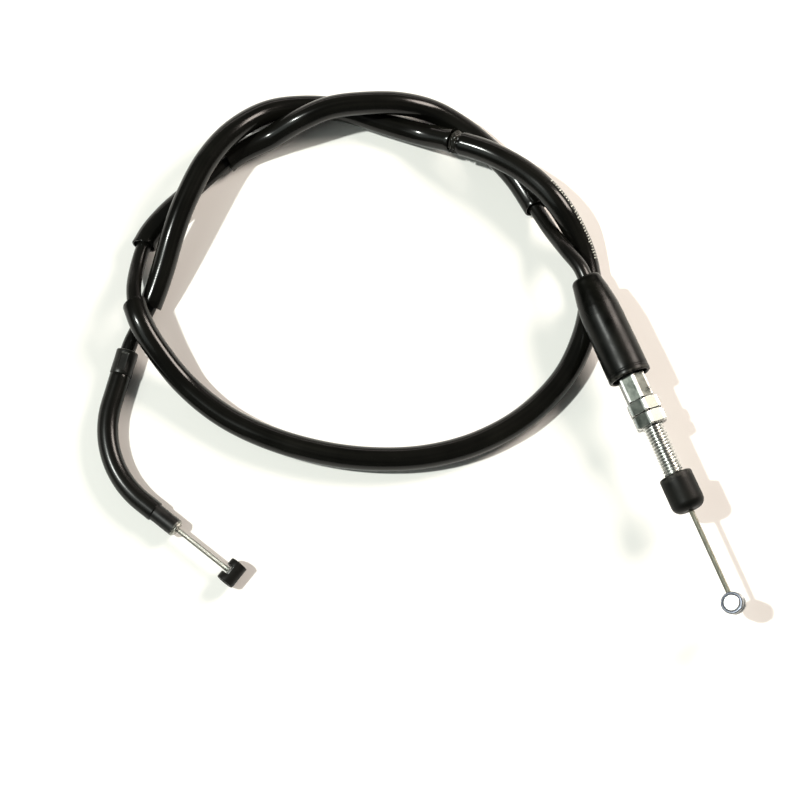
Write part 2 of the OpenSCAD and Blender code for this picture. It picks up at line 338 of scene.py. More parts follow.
class Line:
    """A path measured along its length, with level sideways and upward directions."""

    def __init__(self, points):
        self.points = np.array(points, float)
        steps = np.linalg.norm(np.diff(self.points, axis=0), axis=1)
        self.along = np.concatenate([[0], np.cumsum(steps)])
        self.length = self.along[-1]
        self.tangents = np.gradient(self.points, self.along, axis=0)

    def at(self, along):
        """Points, tangents, sideways and upward directions at these distances along."""
        along = np.asarray(along, float)
        pick = lambda table: np.stack([np.interp(along, self.along, table[:, k])
                                       for k in range(3)], axis=-1)
        beyond = np.clip(along - self.length, 0, None) + np.clip(along, None, 0)
        tangent = unit(pick(self.tangents))
        point = pick(self.points) + tangent * beyond[..., None]
        side = unit(np.cross(UP, tangent))
        return point, tangent, side, np.cross(tangent, side)

    def place(self, along, angle, radius):
        """Points off the path: angle 0 is sideways, a quarter turn is up."""
        point, _, side, up = self.at(along)
        out = np.cos(angle)[..., None] * side + np.sin(angle)[..., None] * up
        return point + np.asarray(radius)[..., None] * out


def unit(v):
    return v / np.maximum(np.linalg.norm(v, axis=-1, keepdims=True), 1e-12)


def smooth_route(points, per_span=16):
    """Dense points on a smooth curve through all the points, per_span of them to a span."""
    p = np.array(points, float)
    ext = np.concatenate([[2 * p[0] - p[1]], p, [2 * p[-1] - p[-2]]])
    out = []
    for i in range(len(p) - 1):
        a, b, c, d = ext[i], ext[i + 1], ext[i + 2], ext[i + 3]
        for t in np.arange(per_span) / per_span:
            out.append(0.5 * (2 * b + (c - a) * t + (2 * a - 5 * b + 4 * c - d) * t ** 2
                              + (3 * b - a - 3 * c + d) * t ** 3))
    out.append(p[-1])
    return np.array(out)


class Shape:
    """A mesh gathered from grids of points."""

    def __init__(self):
        self.points, self.faces, self.maps, self.ends, self.masks = [], [], [], [], {}
        self.count = 0

    def grid(self, points, run=None, close_rows=False, close_columns=True, **masks):
        """points is rows x columns x 3. run, one larger where closed, is each corner's map."""
        rows, columns = points.shape[:2]
        self.points.append(points.reshape(-1, 3))
        for name in set(masks) | set(self.masks):
            value = np.broadcast_to(masks.get(name, 0.0), (rows, columns)).reshape(-1)
            self.masks.setdefault(name, [np.zeros(self.count)] if self.count else [])
            self.masks[name].append(value)
        r = np.arange(rows if close_rows else rows - 1)
        c = np.arange(columns if close_columns else columns - 1)
        i, j = np.meshgrid(r, c, indexing="ij")
        ni, nj = (i + 1) % rows, (j + 1) % columns
        faces = np.stack([i * columns + j, i * columns + nj, ni * columns + nj,
                          ni * columns + j], axis=-1).reshape(-1, 4)
        if run is None:
            run = np.zeros((rows + 1, columns + 1, 2))
        corner = np.stack([run[i, j], run[i, j + 1], run[np.minimum(i + 1, len(run) - 1), j + 1],
                           run[np.minimum(i + 1, len(run) - 1), j]], axis=-2).reshape(-1, 4, 2)
        self.faces.append(faces + self.count)
        self.maps.append(corner)
        self.count += rows * columns

    def disc(self, points, inward=False):
        """A flat end over one ring of points."""
        self.points.append(points)
        order = np.arange(len(points)) + self.count
        self.ends.append(order[::-1].tolist() if inward else order.tolist())
        for name in self.masks:
            self.masks[name].append(np.zeros(len(points)))
        self.count += len(points)

    def mesh(self, name, sharp):
        points = np.concatenate(self.points)
        faces = np.concatenate(self.faces).tolist() + self.ends
        mesh = bpy.data.meshes.new(name)
        mesh.from_pydata(points.tolist(), [], faces)
        layer = mesh.uv_layers.new(name="run")
        flat = np.concatenate(self.maps).reshape(-1)
        uv = np.zeros(len(mesh.loops) * 2)
        uv[:len(flat)] = flat
        layer.data.foreach_set("uv", uv)
        for key, parts in self.masks.items():
            attribute = mesh.attributes.new(key, "FLOAT", "POINT")
            attribute.data.foreach_set("value", np.concatenate(parts))
        work = bmesh.new()
        work.from_mesh(mesh)
        bmesh.ops.remove_doubles(work, verts=work.verts, dist=2e-7)
        bmesh.ops.dissolve_degenerate(work, edges=work.edges, dist=2e-7)
        bmesh.ops.recalc_face_normals(work, faces=work.faces)
        work.to_mesh(mesh)
        work.free()
        mesh.shade_smooth()
        mesh.set_sharp_from_angle(angle=math.radians(sharp))
        return mesh


def piece(name, shape, material, body, nodes=(), sharp=38, weighted=False):
    """A finished piece of the object, on its CAD body and in place of CAD nodes."""
    mesh = shape.mesh(name, sharp) if isinstance(shape, Shape) else shape
    mesh.materials.clear()
    mesh.materials.append(material)
    made = bpy.data.objects.new(name, mesh)
    scene.collection.objects.link(made)
    if weighted:
        flat = made.modifiers.new("even_normals", "WEIGHTED_NORMAL")
        flat.keep_sharp = True
    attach(made, body)
    if nodes:
        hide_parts(*nodes)
    return made


def rounded(profile, cuts, steps=3):
    """Rounds each inner corner of profiles (..., n, 2) by cutting back that far each way."""
    profile = np.asarray(profile, float)
    out = [profile[..., :1, :]]
    for i in range(1, profile.shape[-2] - 1):
        here = profile[..., i, :]
        arms = []
        for other in (profile[..., i - 1, :], profile[..., i + 1, :]):
            way = other - here
            size = np.linalg.norm(way, axis=-1, keepdims=True)
            arms.append(here + way / np.maximum(size, 1e-12) * np.minimum(cuts[i], 0.45 * size))
        if cuts[i] <= 0:
            out.append(here[..., None, :])
            continue
        for t in np.linspace(0, 1, steps):
            point = (1 - t) ** 2 * arms[0] + 2 * t * (1 - t) * here + t ** 2 * arms[1]
            out.append(point[..., None, :])
    out.append(profile[..., -1:, :])
    return np.concatenate(out, axis=-2)


def turned(shape, line, start, profile, sides=64, close=False, change=None, **masks):
    """A profile of (along, radius) pairs turned about the line. change(along, angle) gives
    extra (along, radius) for each point."""
    profile = np.asarray(profile, float)
    angle = np.arange(sides) * 2 * math.pi / sides
    along = np.repeat(profile[:, :1], sides, axis=1)
    radius = np.repeat(profile[:, 1:], sides, axis=1)
    angles = np.repeat(angle[None, :], len(profile), axis=0)
    if change is not None:
        more_along, more_radius = change(along, angles)
        along, radius = along + more_along, radius + more_radius
    points = line.place(start + along, angles, radius)
    around = np.linspace(0, 2 * math.pi, sides + 1) * np.max(profile[:, 1])
    run = np.zeros((len(profile) + 1, sides + 1, 2))
    run[:-1, :, 0] = profile[:, :1]
    run[-1, :, 0] = profile[0, 0]
    run[..., 1] = around
    spread = {k: np.repeat(np.asarray(v)[:, None], sides, axis=1) for k, v in masks.items()}
    shape.grid(points, run, close_rows=close, **spread)


def tube_profile(start, end, outer, inner, step, edge):
    """The wall of a tube as one closed profile: outside, far rim, inside, near rim."""
    out = np.arange(start + edge, end - edge, step)
    back = np.arange(start + edge, end - edge, step * 2)
    rim = [(end - edge, outer), (end - 0.3 * edge, outer - 0.3 * edge), (end, outer - edge),
           (end, inner + edge), (end - 0.3 * edge, inner + 0.3 * edge), (end - edge, inner)]
    near = [(start + edge, inner), (start + 0.3 * edge, inner + 0.3 * edge),
            (start, inner + edge), (start, outer - edge), (start + 0.3 * edge, outer - 0.3 * edge)]
    return np.array([(s, outer) for s in out] + rim
                    + [(s, inner) for s in back[:0:-1]] + near)


def wave(seed, count, size, span):
    """A gentle fixed unevenness along and around a tube, at most about that size."""
    draw = np.random.default_rng(seed)
    waves = [(draw.uniform(0.15, 1.0) / span, draw.integers(1, 3), draw.uniform(0, 6.28),
              draw.uniform(0, 6.28)) for _ in range(count)]

    def change(along, angle):
        total = np.zeros_like(along)
        for rate, lobes, first, second in waves:
            total += np.sin(2 * math.pi * along * rate + first) * np.cos(lobes * angle + second)
        return total * size / count
    return change


# ---------------------------------------------------------------- where things are

ADJUSTER = np.array([82.3, 27.2, 18.2]) * MM
ADJUSTER_ANGLE = math.radians(-67.5)
ARM = np.array([-92.9, -29.9, 4.35]) * MM
ARM_ANGLE = math.radians(-38.5)
ELBOW_TURN = math.radians(66.5)
ELBOW_RADIUS = 38 * MM
PIPE_STRAIGHT = 17 * MM
UPPER_STRAIGHT = 11.5 * MM
COLLAR_LENGTH = 10 * MM
COLLAR_GRIP = 4 * MM


def heading(angle):
    return np.array([math.cos(angle), math.sin(angle), 0])


def adjuster_at(mm):
    return ADJUSTER + mm * MM * heading(ADJUSTER_ANGLE)


bend_centre = (ARM - PIPE_STRAIGHT * heading(ARM_ANGLE)
               + ELBOW_RADIUS * heading(ARM_ANGLE + math.pi / 2))
COLLAR_ANGLE = ARM_ANGLE - ELBOW_TURN
bend_top = bend_centre + ELBOW_RADIUS * heading(ARM_ANGLE - math.pi / 2 - ELBOW_TURN)
collar_bottom = -UPPER_STRAIGHT
collar_top = collar_bottom - COLLAR_LENGTH
jacket_stop = collar_bottom - COLLAR_GRIP


def collar_at(distance):
    return bend_top + distance * heading(COLLAR_ANGLE)


# Two loose turns of cable: points on its centre line, from the boot to the collar
TURNS = [
    (0.0588, 0.0796, 0.0152), (0.053, 0.0902, 0.0091), (0.0474, 0.101, 0.0056),
    (0.0403, 0.113, 0.005), (0.0318, 0.123, 0.005), (0.021, 0.133, 0.005),
    (0.008, 0.1405, 0.0075), (-0.0055, 0.1423, 0.0126), (-0.02, 0.1415, 0.0154),
    (-0.0345, 0.1395, 0.0155), (-0.047, 0.135, 0.0127), (-0.059, 0.1298, 0.007),
    (-0.0716, 0.124, 0.005), (-0.0818, 0.115, 0.005), (-0.0905, 0.1065, 0.005),
    (-0.0995, 0.098, 0.005), (-0.107, 0.088, 0.005), (-0.1105, 0.076, 0.0068),
    (-0.1112, 0.0632, 0.0115), (-0.1083, 0.0515, 0.0138), (-0.1015, 0.04, 0.0115),
    (-0.0905, 0.027, 0.0068), (-0.0755, 0.015, 0.005), (-0.0575, 0.006, 0.005),
    (-0.037, 0, 0.005), (-0.0165, -0.0025, 0.005), (0.004, -0.0015, 0.005),
    (0.024, 0.004, 0.005), (0.0425, 0.0145, 0.005), (0.0575, 0.03, 0.005),
    (0.066, 0.0475, 0.005), (0.069, 0.0645, 0.005), (0.0664, 0.081, 0.0074),
    (0.0573, 0.097, 0.0149), (0.0455, 0.11, 0.0159), (0.031, 0.1195, 0.0152),
    (0.017, 0.126, 0.0118), (0.002, 0.132, 0.006), (-0.014, 0.1375, 0.005),
    (-0.029, 0.1425, 0.005), (-0.0445, 0.144, 0.0052), (-0.06, 0.1402, 0.009),
    (-0.0733, 0.13, 0.014), (-0.0835, 0.117, 0.0155), (-0.091, 0.1015, 0.015),
    (-0.096, 0.088, 0.0128), (-0.1004, 0.0735, 0.0085), (-0.105, 0.061, 0.005),
    (-0.11, 0.051, 0.0036),
]
PER_SPAN = 16
jacket_points = smooth_route(
    [adjuster_at(s) for s in (-3, -16, -28, -40, -48)] + [np.array(p) for p in TURNS]
    + [collar_at(collar_top + s * MM) for s in (-3, 3, 5.8)], PER_SPAN)
jacket_line = Line(jacket_points)


def along_jacket(count):
    """Distance along the jacket of a place counted in the route's points."""
    return float(np.interp(count * PER_SPAN, np.arange(len(jacket_points)), jacket_line.along))


adjuster_line = Line([adjuster_at(-45), adjuster_at(0), adjuster_at(45), adjuster_at(110)])
ADJUSTER_ZERO = 45 * MM
arm_line = Line([ARM - 20 * MM * heading(ARM_ANGLE), ARM, ARM + 40 * MM * heading(ARM_ANGLE)])
ARM_ZERO = 20 * MM
elbow_points = ([collar_at(d) for d in np.linspace(jacket_stop, 0, 12)[:-1]]
                + [bend_centre + ELBOW_RADIUS * heading(ARM_ANGLE - math.pi / 2 - a)
                   for a in np.linspace(ELBOW_TURN, 0, 80)]
                + [ARM + d * heading(ARM_ANGLE) for d in np.linspace(-PIPE_STRAIGHT, 0, 14)[1:]])
elbow_line = Line(elbow_points)
MOUTH = elbow_line.length
core_points = np.concatenate([[adjuster_at(8)], jacket_points,
                              elbow_line.at(np.arange(2, 44, 1.5) * MM)[0]])
core_line = Line(core_points)

FLATS_INSET = 0.02 * MM                       # how much less than the CAD hexagons across flats
JACKET_RADIUS = 2.95 * MM
JACKET_BORE = 2.45 * MM
SLEEVE_RADIUS = 4.8 * MM
SLEEVE_WALL = 0.8 * MM
SLEEVE_OUTSIDE = SLEEVE_RADIUS - 0.1 * MM     # before its unevenness
WIRE_RADIUS = 0.99 * MM
WIRE_LAY = 13 * MM                            # length of one whole twist of the strands

NUT_FLATS = 12 * MM
NUT_THICKNESS = 5.4 * MM
NUT_BORE = 4.05 * MM
INNER_NUT_START = 10.75 * MM
OUTER_NUT_START = 16.2 * MM
HEX_CORNER = 0.22 * MM                        # how round the upright corners of a hexagon are
HEX_FACE = 0.95                               # radius of its flat end, as a share of its half width
SHOULDER_FLATS = 10 * MM
SHOULDER_LENGTH = 10.7 * MM
THREAD_CREST = 3.98 * MM
THREAD_PITCH = 1.25 * MM
THREAD_END = 50.5 * MM
TAIL_START = -8.5 * MM
TAIL_RADIUS = 4.2 * MM
BOLT_BORE = 1.6 * MM
NIPPLE_DISTANCE = 96                          # from the back of the shoulder, in millimetres
NIPPLE_TILT = math.radians(19)

PIPE_RADIUS = 3.54 * MM
PIPE_BORE = 2.75 * MM
COVER_RADIUS = 4.13 * MM
COVER_STOP = 10.5 * MM                        # bare pipe between the cover and the mouth


# ---------------------------------------------------------------- the cord

def hollow_tube(line, start, end, outer, inner, step, sides, edge, change=None, **masks):
    """A tube along a line, with its two rims rounded; each mask is a function of along."""
    shape = Shape()
    profile = tube_profile(start, end, outer, inner, step, edge)
    values = {name: rule(profile[:, 0]) for name, rule in masks.items()}
    turned(shape, line, 0, profile, sides, close=True, change=change, **values)
    return shape


def uneven(bumps):
    """A change to a tube's radius only."""
    return lambda along, angle: (0 * along, bumps(along, angle))


def make_jacket():
    bumps = wave(3, 9, 0.05 * MM, 60 * MM)
    shape = hollow_tube(jacket_line, 0, jacket_line.length, JACKET_RADIUS, JACKET_BORE, 1.5 * MM,
                        24, 0.12 * MM, uneven(bumps))
    skin = vinyl("jacket_black", (0.002, 0.002, 0.0017), (0.007, 0.0069, 0.0054), 0.24)
    return piece("cable_jacket", shape, skin, "casing", ["outer_jacket"])


def fade(distance, reach):
    """1 at no distance, falling smoothly to 0 at reach."""
    t = np.clip(1 - distance / reach, 0, 1)
    return t * t * (3 - 2 * t)


def make_sleeve(name, node, span, seed, skin, cut_start, cut_end, flare):
    """span counts the route's points. Each cut is (millimetres of slant, direction in degrees),
    and flare is how far the two ends open, in millimetres."""
    start, end = along_jacket(span[0]), along_jacket(span[1])
    bumps = wave(seed, 9, 0.09 * MM, 45 * MM)
    ragged = np.random.default_rng(seed)
    phases = ragged.uniform(0, 6.28, 4)

    def change(along, angle):
        near, far = along - start, end - along
        shift = np.zeros_like(along)
        for (size, way), gap in ((cut_start, near), (cut_end, far)):
            slant = size * MM * np.cos(angle - math.radians(way))
            rough = 0.09 * MM * (np.sin(3 * angle + phases[0]) + np.sin(5 * angle + phases[1])
                                 + 0.6 * np.sin(9 * angle + phases[2]))
            shift += (slant + rough) * fade(gap, 12 * MM)
        wide = flare[0] * MM * fade(near, 3 * MM) + flare[1] * MM * fade(far, 3 * MM)
        return shift, bumps(along, angle) + wide * (1 + 0.35 * np.sin(2 * angle + phases[3]))

    shape = hollow_tube(jacket_line, start, end, SLEEVE_OUTSIDE, SLEEVE_RADIUS - SLEEVE_WALL,
                        1.6 * MM, 32, 0.14 * MM, change)
    return piece(name, shape, skin, "casing", [node])


def make_sleeves():
    black = (0.0018, 0.0018, 0.0015), (0.006, 0.006, 0.0046), 0.17
    skin = vinyl("sleeve_black", *black)
    marked = vinyl("sleeve_marked", *black, (along_jacket(36.8), along_jacket(38.6),
                                             math.radians(140) * SLEEVE_OUTSIDE))
    return [
        make_sleeve("upper_sleeve", "sleeve_a", (6.95, 17.4), 11, skin, (0.3, 40), (0.9, 20),
                    (0, 0.1)),
        make_sleeve("short_sleeve", "sleeve_b", (19.3, 21.3), 12, skin, (0.3, 0), (0.4, 200),
                    (0.05, 0.2)),
        make_sleeve("long_sleeve", "sleeve_c", (23.4, 40.9), 13, marked, (0.9, 170), (0.6, 60),
                    (0.15, 0.1)),
        make_sleeve("last_sleeve", "sleeve_d", (41.2, 52.1), 14, skin, (0.5, 230), (0.2, 90),
                    (0.05, 0.05)),
    ]


def make_torn_edge(skin):
    """A crumpled scrap of sleeve, torn back where two sleeves meet."""
    place = along_jacket(41.05)
    draw = np.random.default_rng(41)
    shape = Shape()
    rows, sides = 26, 40
    half, lowest, highest = 2.1 * MM, 3.15 * MM, 5.3 * MM
    angle = np.arange(sides) * 2 * math.pi / sides
    along = np.linspace(-half, half, rows)
    lump = draw.normal(0, 1, (rows + 4, sides + 4))
    kernel = np.array([0.25, 0.5, 0.25])
    for _ in range(2):
        lump = np.apply_along_axis(lambda v: np.convolve(v, kernel, "same"), 0, lump)
        lump = np.apply_along_axis(lambda v: np.convolve(np.concatenate([v[-2:], v, v[:2]]),
                                                         kernel, "same")[2:-2], 1, lump)
    lump = lump[2:-2, 2:-2]
    swell = np.sqrt(np.clip(1 - (along / (2.15 * MM)) ** 2, 0, 1))[:, None]
    radius = 3.2 * MM + swell * (1.15 * MM + 1.1 * MM * lump)
    radius = np.clip(radius, lowest, highest)
    shift = 0.9 * MM * np.roll(lump, 3, axis=1) * swell
    angles = np.repeat(angle[None, :], rows, axis=0)
    points = jacket_line.place(place + along[:, None] + shift, angles, radius)
    shape.grid(points)
    inner = jacket_line.place(place + along[:, None] + 0 * shift, angles,
                              np.full_like(radius, lowest - 0.1 * MM))
    shape.grid(np.stack([points[0], inner[0]]))
    shape.grid(np.stack([inner[-1], points[-1]]))
    shape.grid(inner[::-1])
    return piece("torn_sleeve_edge", shape, skin, "casing", sharp=60)


def make_layers():
    """The casing's hidden layers: a flat wire wound in a close spiral over a plastic liner."""
    length = jacket_line.length
    shape = Shape()
    pitch, per_turn, gap = 1.7 * MM, 12, 0.12 * MM
    turns_count = int((length - 2 * MM) / pitch)
    step = np.arange(turns_count * per_turn + 1)
    angle = step * 2 * math.pi / per_turn
    middle = 1 * MM + step * pitch / per_turn
    half = (pitch - gap) / 2
    corners = [(-half, 2.33), (-half * 0.7, 2.4), (half * 0.7, 2.4), (half, 2.33), (half, 1.82),
               (-half, 1.82)]
    rows = [jacket_line.place(middle + s, angle, np.full(len(step), r * MM)) for s, r in corners]
    wire = np.stack(rows, axis=1)
    shape.grid(wire)
    shape.disc(wire[0])
    shape.disc(wire[-1], inward=True)
    casing = piece("spiral_wire", shape, zinc("spiral_steel", (0.3, 0.31, 0.3),
                   (0.45, 0.45, 0.42), 0.35, 0.5), "casing", ["spiral_casing"])
    tube = hollow_tube(jacket_line, 0, length, 1.75 * MM, 1.35 * MM, 2.4 * MM, 16, 0.08 * MM)
    liner = piece("liner_tube", tube, plain_plastic("liner_ivory", (0.62, 0.6, 0.52),
                  (0.7, 0.68, 0.6), 0.4), "casing", ["inner_liner"])
    return [casing, liner]


def strand_wire(name, line, start, end, radius, step, lay, material, body, node, per_strand=6):
    """A wire of twisted strands, as one lobed section that turns along the line."""
    strands_count = 12
    shape = Shape()
    count = int((end - start) / step) + 1
    along = np.linspace(start, end, count)
    thin = radius * 0.2
    ring = radius - thin
    reach = math.asin(min(0.98, thin / ring)) * 0.97
    spots = np.linspace(-reach, reach, per_strand)
    base = np.arange(strands_count) * 2 * math.pi / strands_count
    angle = (base[:, None] + spots[None, :]).reshape(-1)
    off = np.tile(spots, strands_count)
    wide = ring * np.cos(off) + np.sqrt(np.clip(thin ** 2 - (ring * np.sin(off)) ** 2, 0, None))
    twist = 2 * math.pi * (along - start) / lay
    angles = angle[None, :] + twist[:, None]
    points = line.place(np.repeat(along[:, None], len(angle), 1), angles,
                        np.repeat(wide[None, :], count, 0))
    # painted light: 1 on each strand's crown for a painted highlight, 0 in the grooves between strands
    # for painted shade
    crown = np.clip((wide - wide.min()) / (wide.max() - wide.min()), 0, 1)
    shape.grid(points, crown=np.repeat(crown[None, :], count, 0))
    shape.disc(points[0], inward=True)
    shape.disc(points[-1])
    return piece(name, shape, material, body, [node], sharp=75)


def make_cord():
    wire = strands("hidden_wire_steel", (0.12, 0.12, 0.1), (0.55, 0.54, 0.48))
    jacket = make_jacket()
    sleeves = make_sleeves()
    torn = make_torn_edge(vinyl("torn_black", (0.004, 0.004, 0.003), (0.03, 0.029, 0.024), 0.24))
    layers = make_layers()
    core = strand_wire("core_wire", core_line, 0, core_line.length, 1 * MM, 1.6 * MM, 16 * MM,
                       wire, "casing", "inner_wire", 3)


# ---------------------------------------------------------------- adjuster, nuts, boot, cap

def from_corner(angle):
    """These angles, measured from the nearest corner of a hexagon."""
    return (angle + math.pi / 6) % (math.pi / 3) - math.pi / 6


def hexagon(angle, flats):
    """Radius of a hexagon with rounded corners at these angles from one corner, and how far
    a corner's rounding reaches."""
    part = from_corner(angle)
    half = flats / 2
    middle = (half - HEX_CORNER) / math.cos(math.pi / 6)
    turn = math.atan2(HEX_CORNER * 0.5, middle + HEX_CORNER * math.cos(math.pi / 6))
    flat = half / np.cos(math.pi / 6 - np.abs(part))
    inside = np.clip(HEX_CORNER ** 2 - (middle * np.sin(part)) ** 2, 0, None)
    return np.where(np.abs(part) < turn, middle * np.cos(part) + np.sqrt(inside), flat), turn


def hex_angles(flats):
    """Angles round a hexagon, closer together on its rounded corners."""
    turn = hexagon(np.zeros(1), flats)[1]
    one = np.concatenate([np.linspace(-turn, turn, 5),
                          np.linspace(turn, math.pi / 3 - turn, 8)[1:-1]])
    return np.concatenate([one + k * math.pi / 3 for k in range(6)])


def hex_piece(shape, start, end, flats, turn, bore_start, bore_end, bore_cut=0.3 * MM):
    """A hexagonal bar or nut on the adjuster: chamfered corners, rounded edges and a chamfered
    bore. With no turn, one corner points straight up."""
    angle = hex_angles(flats)
    wide = hexagon(angle, flats)[0]
    face_r = flats / 2 * HEX_FACE
    drop = np.maximum(wide - face_r, 0.02 * MM) / math.tan(math.radians(62))
    profile = [
        (start + bore_cut, bore_start), (start, bore_start + bore_cut), (start, face_r),
        (start + drop, wide), (end - drop, wide), (end, face_r), (end, bore_end + bore_cut),
        (end - bore_cut, bore_end)]
    rows = np.stack([np.stack([np.broadcast_to(s, wide.shape), np.broadcast_to(r, wide.shape)],
                              axis=-1) for s, r in profile], axis=1)
    cuts = [0, 0.08 * MM, 0.09 * MM, 0.12 * MM, 0.12 * MM, 0.09 * MM, 0.08 * MM, 0]
    rows = rounded(rows, cuts)
    along, radius = rows[..., 0].T, rows[..., 1].T
    angles = np.repeat(angle[None, :] + math.pi / 2 + turn, along.shape[0], axis=0)
    points = adjuster_line.place(ADJUSTER_ZERO + along, angles, radius)
    # painted highlight: the mask named edge marks the middle of each rounded edge and each upright
    # corner, where the zinc colour is lightened to stand in for glints
    edge = np.zeros(along.shape)
    for row in (5, 8, 11, 14):                # the middle of each rounded edge outside
        edge[row] = 1.0
    edge = np.maximum(edge, (np.abs(from_corner(angle)) < 0.03)[None, :] * 1.0)
    shape.grid(points, edge=edge)


def make_nut(name, node, turn_degrees, start, body, material):
    shape = Shape()
    end = start + NUT_THICKNESS
    hex_piece(shape, start, end, NUT_FLATS - FLATS_INSET, -math.radians(turn_degrees), NUT_BORE, NUT_BORE)
    turned(shape, adjuster_line, ADJUSTER_ZERO,
           [(start + 0.3 * MM, NUT_BORE), (end - 0.3 * MM, NUT_BORE)], len(hex_angles(NUT_FLATS)),
           edge=[0, 0])
    return piece(name, shape, material, body, [node], sharp=50, weighted=True)


def thread_radius(phase, crest, depth):
    """Radius of a metric thread at this part of its pitch, with rounded crest and root."""
    spots = [0, 0.03, 0.095, 0.125, 0.49, 0.53, 0.5625, 0.595, 0.635, 1.0]
    height = [0.95, 1, 1, 0.95, 0.06, 0.01, 0, 0.01, 0.06, 0.95]
    return crest - depth * (1 - np.interp(phase, spots, height))


def make_thread(shape, start, end, sides):
    """A right-handed thread on the adjuster, whose rows of points follow the crest and the
    root. Returns the radius of its root."""
    spots = np.array([0, 0.03, 0.095, 0.125, 0.25, 0.37, 0.49, 0.53, 0.595, 0.635, 0.76, 0.88])
    turns_count = int((end - start) / THREAD_PITCH) + 3
    rows = (np.arange(-2, turns_count)[:, None] + spots[None, :]).reshape(-1)
    column = np.arange(sides) / sides
    depth = 0.58 * THREAD_PITCH
    along = start + (rows[:, None] + column[None, :]) * THREAD_PITCH
    phase = np.repeat((rows % 1.0)[:, None], sides, axis=1)
    radius = thread_radius(phase, THREAD_CREST, depth)
    root = THREAD_CREST - depth
    chamfer = np.minimum(root + (end - along) * 1.2, root + 0.05 * MM + (along - start) * 1.5)
    along_in = np.clip(along, start, end)
    radius = np.minimum(radius, np.maximum(chamfer, root))
    # where the strip meets itself after one turn, each row joins the row one pitch on
    per_pitch = len(spots)
    angles = np.repeat((column * 2 * math.pi)[None, :], len(rows), axis=0)
    points = adjuster_line.place(ADJUSTER_ZERO + along_in, angles, radius)
    # painted highlight: the mask named edge lightens the whole thread, most on the crests and least in
    # the roots
    edge = 0.35 + 0.65 * np.clip((radius - root) / (THREAD_CREST - root), 0, 1)
    closed = np.concatenate([points[:-per_pitch], points[per_pitch:, :1]], axis=1)
    edge = np.concatenate([edge[:-per_pitch], edge[per_pitch:, :1]], axis=1)
    shape.grid(closed, close_columns=False, edge=edge)
    return root


def make_bolt(material):
    shape = Shape()
    sides = 56
    root = make_thread(shape, SHOULDER_LENGTH, THREAD_END, sides)
    hex_piece(shape, 0, SHOULDER_LENGTH, SHOULDER_FLATS - FLATS_INSET, 0, TAIL_RADIUS, root, 0.02 * MM)
    cut, socket, socket_end = 0.2 * MM, 3.0 * MM, -3 * MM
    profile = [
        (0, TAIL_RADIUS), (TAIL_START + cut, TAIL_RADIUS), (TAIL_START, TAIL_RADIUS - cut),
        (TAIL_START, socket + 0.1 * MM), (TAIL_START + cut, socket), (socket_end, socket),
        (socket_end, BOLT_BORE), (THREAD_END - cut, BOLT_BORE), (THREAD_END, BOLT_BORE + cut),
        (THREAD_END, root)]
    turned(shape, adjuster_line, ADJUSTER_ZERO, rounded(profile, [0] + [0.05 * MM] * 8 + [0]), sides)
    return piece("adjuster", shape, material, "casing", ["adjuster_bolt"],
                 sharp=42, weighted=True)


def make_boot():
    """Millimetres along the adjuster, and radius: neck, swelling side, beaded mouth, hollow."""
    shape = Shape()
    outer = [(-41.9, 3.2), (-42.8, 3.5), (-43, 4.6), (-42.8, 5.4), (-41.9, 5.95), (-40, 6.25),
             (-37, 6.85), (-34, 7.35), (-30, 7.85), (-26, 8.1), (-18, 8.24), (-12, 8.33), (-6, 8.44),
             (-2.6, 8.5), (-1.9, 8.36), (-1.4, 8.5), (-0.5, 8.54), (0.15, 8.45), (0.5, 8.1),
             (0.5, 7.6), (0.1, 7.25), (-1, 7.2), (-12, 7.2), (-24, 7.2), (-31, 5.5),
             (-31, 3.3), (-31.4, 3.2)]
    profile = rounded(np.array(outer) * MM, [0] + [0.45 * MM] * 25 + [0], 4)
    bumps = wave(21, 8, 0.14 * MM, 22 * MM)

    def change(along, angle):
        squeeze = 0.12 * MM * np.exp(-((along + 27 * MM) / (6 * MM)) ** 2) * np.cos(2 * angle)
        seam = 0.05 * MM * np.exp(-((np.cos(angle) - 1) / 0.0006) ** 2)
        return np.zeros_like(along), bumps(along, angle) + squeeze + seam

    edge = np.where((profile[:, 0] > -0.9 * MM) & (profile[:, 1] > 7.4 * MM), 1.0, 0.0)
    dull = np.clip((profile[:, 0] + 33 * MM) / (10 * MM), 0, 1)
    turned(shape, adjuster_line, ADJUSTER_ZERO, profile, 72, close=True, change=change, edge=edge,
           dull=dull)
    skin = moulded("boot_black", (0.0012, 0.0014, 0.001), (0.004, 0.0042, 0.003), 0.2, 0.00002)
    return piece("rubber_boot_skin", shape, skin, "rubber_boot", ["boot"], sharp=60)


def make_cap():
    """Millimetres along the adjuster, and radius: bore, rim, side, rounded top, wire hole."""
    shape = Shape()
    wide, far_end, dome = 6.6, 57.3, 3.5
    top = [(far_end - dome * (1 - math.cos(a)), wide - dome * (1 - math.sin(a)))
           for a in np.radians(np.arange(80, -1, -10))]
    outer = ([(51, 4.05), (42.9, 4.05), (42.5, 4.4), (42.5, 6.2), (42.9, 6.55), (46, wide),
              (50, wide), (53.6, wide)] + top + [(far_end, 1.5), (56.9, 1.15), (51.0, 1.15)])
    profile = rounded(np.array(outer) * MM, [0] + [0.2 * MM] * (len(outer) - 2) + [0], 3)
    bumps = wave(31, 6, 0.06 * MM, 12 * MM)
    edge = np.where((profile[:, 0] < 43.2 * MM) & (profile[:, 1] > 6 * MM), 1.0, 0.0)
    turned(shape, adjuster_line, ADJUSTER_ZERO, profile, 64, close=True,
           change=uneven(bumps), edge=edge)
    skin = moulded("cap_black", (0.0012, 0.0014, 0.001), (0.004, 0.0042, 0.003), 0.48, 0.00005)
    return piece("end_cap_skin", shape, skin, "rubber_cap", ["end_cap"], sharp=60)


